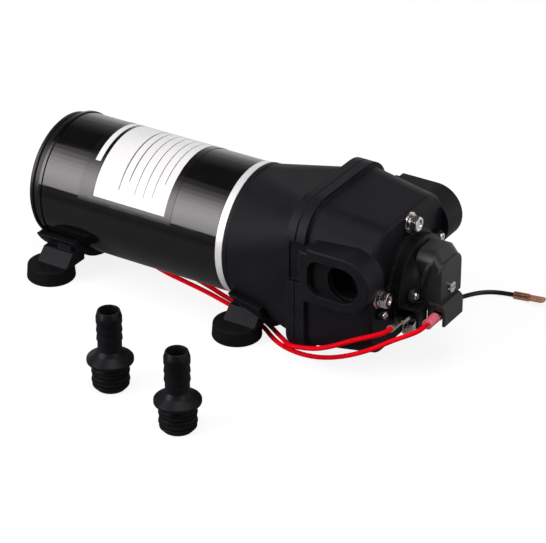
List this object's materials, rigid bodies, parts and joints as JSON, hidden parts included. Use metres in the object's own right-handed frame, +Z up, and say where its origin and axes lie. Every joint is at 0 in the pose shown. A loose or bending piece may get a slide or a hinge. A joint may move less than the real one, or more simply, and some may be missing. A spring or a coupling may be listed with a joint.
{
  "type": "caravan water pump",
  "caption": "Self-priming diaphragm water pump with a round motor, rubber feet, side ports with slide latches, a pressure switch, leads and separate hose fittings.",
  "frame": {"origin": "centre of the four mounting holes, on the surface that the rubber feet stand on", "axes": "+X along the pump's axis from the motor to the head, +Z up, the near port faces -Y"},
  "size_m": [0.2678, 0.2281, 0.0912],
  "materials": {
    "can_paint": "gloss",
    "bright_plate": "turned, satin",
    "cap_black": "semi gloss",
    "charcoal_plastic": "moulded, fine grain",
    "switch_plastic": "moulded, smooth",
    "fitting_plastic": "moulded, satin",
    "rubber_black": "matt",
    "bracket_plastic": "moulded, matt",
    "plated_steel": "plated",
    "steel": "ground",
    "lamination": "stacked sheet",
    "magnet": "sintered, grey",
    "copper": "drawn",
    "brass": "stamped",
    "tinned": "tinned",
    "carbon": "pressed",
    "board": "laminate",
    "alloy": "die cast",
    "white_plastic": "moulded",
    "red_wire": "insulation",
    "black_wire": "insulation",
    "pink_sleeve": "clear sleeve over red"
  },
  "bodies": {
    "pump": {"motor_can": "can_paint", "motor_end_cap": "cap_black", "motor_front_plate": "bright_plate", "motor_magnets": "magnet", "motor_through_bolts": "steel", "lead_grommets": "rubber_black", "bearing_outer_rings": "steel", "brush_plate": "board", "brush_boxes": "brass", "carbon_brushes": "carbon", "brush_springs": "steel", "diaphragm": "rubber_black", "valve_plate": "white_plastic", "inlet_valves": "rubber_black", "outlet_valve": "rubber_black", "head_seal": "rubber_black", "lower_housing": "charcoal_plastic", "upper_housing": "charcoal_plastic", "housing_screws": "plated_steel", "flat_washers": "plated_steel", "spring_washers": "plated_steel", "switch_body": "switch_plastic", "switch_diaphragm": "rubber_black", "switch_spring": "steel", "switch_cover": "switch_plastic", "micro_switch": "switch_plastic", "switch_terminals": "tinned", "switch_screws": "plated_steel", "rear_cradle": "bracket_plastic", "front_cradle": "bracket_plastic", "rubber_feet": "rubber_black", "foot_bushes": "plated_steel", "motor_lead_red": "red_wire", "supply_lead_red": "red_wire", "motor_lead_black": "black_wire", "lead_receptacles": "tinned", "supply_lead_sleeve": "pink_sleeve", "supply_lead_end": "tinned", "black_lead_end": "copper"},
    "rotor": {"rotor_core": "lamination", "rotor_windings": "copper", "commutator": "copper", "motor_shaft": "steel", "bearing_inner_rings": "steel", "drive_hub": "alloy", "hub_set_screw": "steel"},
    "nodding_drive": {"drive_ring_outer": "steel", "nodding_plate": "charcoal_plastic", "piston_caps": "white_plastic", "piston_screws": "steel"},
    "near_port_slide": {"port_slide_near": "switch_plastic"},
    "far_port_slide": {"port_slide_far": "switch_plastic"},
    "pressure_plunger": {"switch_plunger": "white_plastic"},
    "switch_button": {"micro_switch_button": "white_plastic"},
    "pressure_adjuster": {"adjuster_screw": "plated_steel"},
    "left_fitting": {"hose_fitting_left": "fitting_plastic", "fitting_rings_left": "rubber_black"},
    "right_fitting": {"hose_fitting_right": "fitting_plastic", "fitting_rings_right": "rubber_black"}
  },
  "joints": [
    {"name": "shaft_spin", "type": "hinge", "parent": "pump", "child": "rotor", "pos_m": [0, 0, 0.046], "axis": [1, 0, 0], "continuous": true},
    {"name": "wobble", "type": "hinge", "parent": "rotor", "child": "nodding_drive", "pos_m": [0.0861, 0, 0.046], "axis": [0.9984, 0, 0.0558], "continuous": true, "deforming": ["diaphragm"]},
    {"name": "near_slide", "type": "slide", "parent": "pump", "child": "near_port_slide", "axis": [1, 0, 0], "range_m": [0, 0.0045]},
    {"name": "far_slide", "type": "slide", "parent": "pump", "child": "far_port_slide", "axis": [1, 0, 0], "range_m": [0, 0.0045]},
    {"name": "plunger_travel", "type": "slide", "parent": "pump", "child": "pressure_plunger", "axis": [1, 0, 0], "range_m": [0, 0.0008], "stiffness_N_per_m": 1500, "springref_m": -0.001, "deforming": ["switch_spring"]},
    {"name": "button_travel", "type": "slide", "parent": "pump", "child": "switch_button", "axis": [1, 0, 0], "range_m": [0, 0.0008]},
    {"name": "adjuster_turn", "type": "hinge", "parent": "pump", "child": "pressure_adjuster", "pos_m": [0.1725, 0, 0.046], "axis": [1, 0, 0], "range_deg": [-360, 360]},
    {"name": "left_fitting_lift", "type": "slide", "parent": "pump", "child": "left_fitting", "axis": [0, 0, 1], "range_m": [0, 0.04]},
    {"name": "right_fitting_lift", "type": "slide", "parent": "pump", "child": "right_fitting", "axis": [0, 0, 1], "range_m": [0, 0.04]}
  ],
  "couplings": [
    {"joint": "wobble", "follows": "shaft_spin", "ratio": -1},
    {"joint": "button_travel", "follows": "plunger_travel", "ratio": 1}
  ]
}
